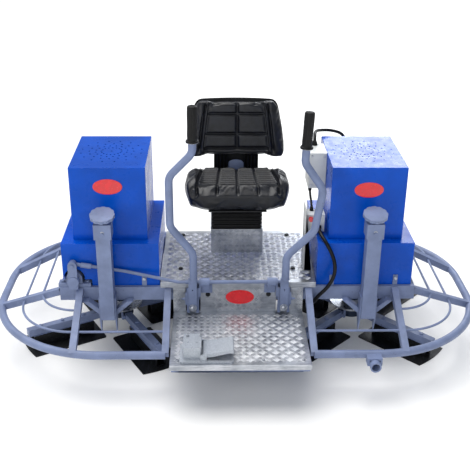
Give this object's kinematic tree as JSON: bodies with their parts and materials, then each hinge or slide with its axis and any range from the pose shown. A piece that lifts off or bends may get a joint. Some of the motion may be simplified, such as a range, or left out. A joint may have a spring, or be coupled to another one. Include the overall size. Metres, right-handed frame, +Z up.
{
  "type": "ride-on power trowel",
  "caption": "Ride-on power trowel: bladed rotors under box hoods at each end, seat on a plate deck between them, bent steering levers, tube guards and a foot switch.",
  "frame": {"origin": "on the ground under the middle of the overall box", "axes": "+X from the left hood to the right hood as seen from the floor plate, +Y from the floor plate towards the seat's back, +Z up"},
  "size_m": [2.1336, 1.2678, 1.1452],
  "materials": {
    "frame_paint": "light blue-grey enamel",
    "hood_paint": "royal blue enamel",
    "checker_plate": "bright five-bar tread plate",
    "gearbox_paint": "dark blue-grey enamel",
    "motor_paint": "grey enamel",
    "black_steel": "black satin",
    "steel": "machined",
    "cast_enamel": "grey hammered enamel on a casting",
    "grey_enamel": "light grey enamel",
    "rubber": "matt",
    "seat_vinyl": "embossed satin vinyl",
    "red_plastic": "gloss"
  },
  "bodies": {
    "frame": {"main_frame": "frame_paint", "floor_plate": "checker_plate", "riser_plate": "checker_plate", "seat_deck": "checker_plate", "left_guard": "frame_paint", "right_guard": "frame_paint", "tow_socket": "frame_paint", "left_hood": "hood_paint", "right_hood": "hood_paint", "left_lower_cover": "hood_paint", "right_lower_cover": "hood_paint", "cover_lugs": "frame_paint", "left_leg_post": "frame_paint", "right_leg_post": "frame_paint", "left_gearbox": "gearbox_paint", "right_gearbox": "gearbox_paint", "left_motor": "motor_paint", "right_motor": "motor_paint", "drive_belts": "rubber", "pivot_brackets": "frame_paint", "bearing_block": "frame_paint", "foot_switch_case": "cast_enamel", "control_box": "grey_enamel", "switch_box": "grey_enamel", "cables": "rubber", "pedestal": "checker_plate", "suspension": "black_steel"},
    "left_rotor": {"left_rotor_shaft": "gearbox_paint"},
    "left_input": {"left_gear_shaft": "steel"},
    "left_motor_shaft": {"left_motor_pulley": "steel"},
    "left_collar": {"left_thrust_collar": "steel"},
    "left_arm_1": {"left_trowel_arm_1": "frame_paint"},
    "left_arm_2": {"left_trowel_arm_2": "frame_paint"},
    "left_arm_3": {"left_trowel_arm_3": "frame_paint"},
    "left_arm_4": {"left_trowel_arm_4": "frame_paint"},
    "left_cradle": {"left_lever_cradle": "frame_paint"},
    "left_lever": {"left_lever": "frame_paint", "left_grip": "rubber"},
    "left_foot": {"left_leg_foot": "frame_paint"},
    "right_rotor": {"right_rotor_shaft": "gearbox_paint"},
    "right_input": {"right_gear_shaft": "steel"},
    "right_motor_shaft": {"right_motor_pulley": "steel"},
    "right_collar": {"right_thrust_collar": "steel"},
    "right_arm_1": {"right_trowel_arm_1": "frame_paint"},
    "right_arm_2": {"right_trowel_arm_2": "frame_paint"},
    "right_arm_3": {"right_trowel_arm_3": "frame_paint"},
    "right_arm_4": {"right_trowel_arm_4": "frame_paint"},
    "right_cradle": {"right_lever_cradle": "frame_paint"},
    "right_lever": {"right_lever": "frame_paint", "right_grip": "rubber"},
    "right_foot": {"right_leg_foot": "frame_paint"},
    "steering_rods": {"cross_rod": "frame_paint", "tie_rod": "frame_paint"},
    "crank": {"crank": "frame_paint"},
    "treadle": {"foot_treadle": "cast_enamel"},
    "button": {"stop_button": "red_plastic"},
    "seat": {"seat_pan": "black_steel", "seat_cushion": "seat_vinyl"},
    "seat_back": {"backrest": "seat_vinyl", "back_bracket": "black_steel"}
  },
  "joints": [
    {"name": "left_rotor_spin", "type": "hinge", "parent": "frame", "child": "left_rotor", "pos_m": [-0.54, 0.05108, 0.1], "axis": [0, 0, 1], "continuous": true},
    {"name": "left_input_spin", "type": "hinge", "parent": "frame", "child": "left_input", "pos_m": [-0.54, -0.06143, 0.35], "axis": [0, 0, 1], "continuous": true},
    {"name": "left_motor_spin", "type": "hinge", "parent": "frame", "child": "left_motor_shaft", "pos_m": [-0.54, 0.14308, 0.42], "axis": [0, 0, 1], "continuous": true},
    {"name": "left_pitch_slide", "type": "slide", "parent": "left_rotor", "child": "left_collar", "axis": [0, 0, -1], "range_m": [0, 0.0042]},
    {"name": "left_arm_1_pitch", "type": "hinge", "parent": "left_rotor", "child": "left_arm_1", "pos_m": [-0.36508, 0.14804, 0.075], "axis": [0.8746, 0.4848, 0], "range_deg": [0, 7.6]},
    {"name": "left_arm_2_pitch", "type": "hinge", "parent": "left_rotor", "child": "left_arm_2", "pos_m": [-0.63696, 0.226, 0.075], "axis": [-0.4848, 0.8746, 0], "range_deg": [0, 7.6]},
    {"name": "left_arm_3_pitch", "type": "hinge", "parent": "left_rotor", "child": "left_arm_3", "pos_m": [-0.71492, -0.04589, 0.075], "axis": [-0.8746, -0.4848, 0], "range_deg": [0, 7.6]},
    {"name": "left_arm_4_pitch", "type": "hinge", "parent": "left_rotor", "child": "left_arm_4", "pos_m": [-0.44304, -0.12385, 0.075], "axis": [0.4848, -0.8746, 0], "range_deg": [0, 7.6]},
    {"name": "left_lever_swing", "type": "hinge", "parent": "frame", "child": "left_cradle", "pos_m": [-0.194, -0.23892, 0.368], "axis": [1, 0, 0], "range_deg": [-8, 8]},
    {"name": "left_lever_tip", "type": "hinge", "parent": "left_cradle", "child": "left_lever", "pos_m": [-0.194, -0.24893, 0.257], "axis": [0, 1, 0], "range_deg": [-5.5, 5.5]},
    {"name": "left_foot_slide", "type": "slide", "parent": "frame", "child": "left_foot", "axis": [0, 0, 1], "range_m": [0, 0.06]},
    {"name": "right_rotor_spin", "type": "hinge", "parent": "frame", "child": "right_rotor", "pos_m": [0.54, 0.05108, 0.1], "axis": [0, 0, 1], "continuous": true},
    {"name": "right_input_spin", "type": "hinge", "parent": "frame", "child": "right_input", "pos_m": [0.54, -0.06143, 0.35], "axis": [0, 0, 1], "continuous": true},
    {"name": "right_motor_spin", "type": "hinge", "parent": "frame", "child": "right_motor_shaft", "pos_m": [0.54, 0.14308, 0.42], "axis": [0, 0, 1], "continuous": true},
    {"name": "right_pitch_slide", "type": "slide", "parent": "right_rotor", "child": "right_collar", "axis": [0, 0, -1], "range_m": [0, 0.0042]},
    {"name": "right_arm_1_pitch", "type": "hinge", "parent": "right_rotor", "child": "right_arm_1", "pos_m": [0.68142, 0.1925, 0.075], "axis": [0.7071, 0.7071, 0], "range_deg": [-7.6, 0]},
    {"name": "right_arm_2_pitch", "type": "hinge", "parent": "right_rotor", "child": "right_arm_2", "pos_m": [0.39858, 0.1925, 0.075], "axis": [-0.7071, 0.7071, 0], "range_deg": [-7.6, 0]},
    {"name": "right_arm_3_pitch", "type": "hinge", "parent": "right_rotor", "child": "right_arm_3", "pos_m": [0.39858, -0.09035, 0.075], "axis": [-0.7071, -0.7071, 0], "range_deg": [-7.6, 0]},
    {"name": "right_arm_4_pitch", "type": "hinge", "parent": "right_rotor", "child": "right_arm_4", "pos_m": [0.68142, -0.09035, 0.075], "axis": [0.7071, -0.7071, 0], "range_deg": [-7.6, 0]},
    {"name": "right_lever_swing", "type": "hinge", "parent": "frame", "child": "right_cradle", "pos_m": [0.194, -0.23892, 0.368], "axis": [1, 0, 0], "range_deg": [-8, 8]},
    {"name": "right_lever_tip", "type": "hinge", "parent": "right_cradle", "child": "right_lever", "pos_m": [0.194, -0.24893, 0.257], "axis": [0, 1, 0], "range_deg": [-5.5, 5.5]},
    {"name": "right_foot_slide", "type": "slide", "parent": "frame", "child": "right_foot", "axis": [0, 0, 1], "range_m": [0, 0.06]},
    {"name": "steering_slide", "type": "slide", "parent": "frame", "child": "steering_rods", "axis": [1, 0, 0], "range_m": [-0.011, 0.011]},
    {"name": "crank_turn", "type": "hinge", "parent": "frame", "child": "crank", "pos_m": [-0.699, -0.23892, 0.366], "axis": [0, 1, 0], "range_deg": [-8.3, 8.3]},
    {"name": "treadle_press", "type": "hinge", "parent": "frame", "child": "treadle", "pos_m": [-0.142, -0.54892, 0.236], "axis": [0, 1, 0], "range_deg": [0, 6], "stiffness_Nm_per_rad": 8, "springref_deg": -8.59},
    {"name": "button_press", "type": "slide", "parent": "frame", "child": "button", "axis": [0, 1, 0], "range_m": [0, 0.005], "stiffness_N_per_m": 800, "springref_m": -0.003},
    {"name": "seat_slide", "type": "slide", "parent": "frame", "child": "seat", "axis": [0, 1, 0], "range_m": [-0.075, 0.075]},
    {"name": "backrest_tilt", "type": "hinge", "parent": "seat", "child": "seat_back", "pos_m": [0, 0.36907, 0.64], "axis": [1, 0, 0], "range_deg": [-10, 0]}
  ],
  "couplings": [
    {"joint": "left_input_spin", "follows": "left_rotor_spin", "ratio": -4},
    {"joint": "left_motor_spin", "follows": "left_rotor_spin", "ratio": -9.9556},
    {"joint": "left_arm_1_pitch", "follows": "left_pitch_slide", "rad_per_m": 31.25},
    {"joint": "left_arm_2_pitch", "follows": "left_pitch_slide", "rad_per_m": 31.25},
    {"joint": "left_arm_3_pitch", "follows": "left_pitch_slide", "rad_per_m": 31.25},
    {"joint": "left_arm_4_pitch", "follows": "left_pitch_slide", "rad_per_m": 31.25},
    {"joint": "right_input_spin", "follows": "right_rotor_spin", "ratio": -4},
    {"joint": "right_motor_spin", "follows": "right_rotor_spin", "ratio": -9.9556},
    {"joint": "right_arm_1_pitch", "follows": "right_pitch_slide", "rad_per_m": -31.25},
    {"joint": "right_arm_2_pitch", "follows": "right_pitch_slide", "rad_per_m": -31.25},
    {"joint": "right_arm_3_pitch", "follows": "right_pitch_slide", "rad_per_m": -31.25},
    {"joint": "right_arm_4_pitch", "follows": "right_pitch_slide", "rad_per_m": -31.25},
    {"joint": "right_lever_tip", "follows": "left_lever_tip", "ratio": 1},
    {"joint": "steering_slide", "follows": "left_lever_tip", "m_per_rad": 0.111},
    {"joint": "crank_turn", "follows": "left_lever_tip", "ratio": 1.48}
  ]
}
